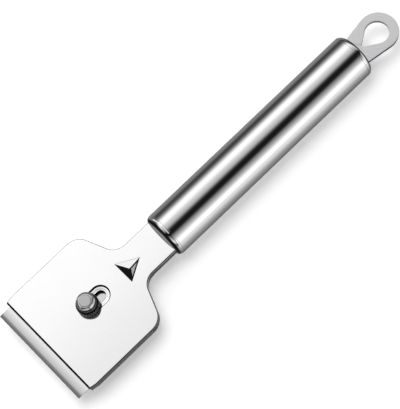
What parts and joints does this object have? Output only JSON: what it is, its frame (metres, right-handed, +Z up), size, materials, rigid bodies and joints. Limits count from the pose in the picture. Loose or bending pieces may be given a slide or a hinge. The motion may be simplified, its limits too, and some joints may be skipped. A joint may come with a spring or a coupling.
{
  "type": "razor blade scraper",
  "caption": "Hand scraper with a layered steel head, a sliding blade clamped by a knurled thumb knob, a tubular steel handle and a hanging eye.",
  "frame": {"origin": "under the middle of the tool's length, on its symmetry plane, level with the handle's lowest line", "axes": "+X from the cutting edge to the hanging eye, +Z up through the knob, +Y across the blade"},
  "size_m": [0.1972, 0.0502, 0.02],
  "materials": {
    "polished_steel": "polished to a mirror",
    "brushed_steel": "fine brushed along the handle, semi bright",
    "plain_steel": "rolled sheet, semi bright",
    "satin_steel": "satin",
    "blade_steel": "bright sheet with a ground bevel",
    "knob_steel": "turned and knurled",
    "screw_steel": "turned"
  },
  "bodies": {
    "handle": {"front_plate": "polished_steel", "back_cover": "plain_steel", "neck_spacer": "plain_steel", "handle_tube": "brushed_steel", "front_cap": "brushed_steel", "rear_cap": "brushed_steel", "hanging_loop": "satin_steel"},
    "carriage": {"blade_carrier": "plain_steel", "thread_boss": "screw_steel", "locating_pins": "screw_steel", "blade": "blade_steel"},
    "screw": {"clamp_screw": "screw_steel"},
    "knob": {"knob": "knob_steel"}
  },
  "joints": [
    {"name": "carriage_slide", "type": "slide", "parent": "handle", "child": "carriage", "axis": [1, 0, 0], "range_m": [0, 0.0061]},
    {"name": "screw_lift", "type": "slide", "parent": "carriage", "child": "screw", "axis": [0, 0, 1], "range_m": [0, 0.00105]},
    {"name": "knob_turn", "type": "hinge", "parent": "screw", "child": "knob", "pos_m": [-0.07112, 0, 0.01245], "axis": [0, 0, 1], "range_deg": [0, 540]}
  ],
  "couplings": [
    {"joint": "knob_turn", "follows": "screw_lift", "rad_per_m": 8976}
  ]
}
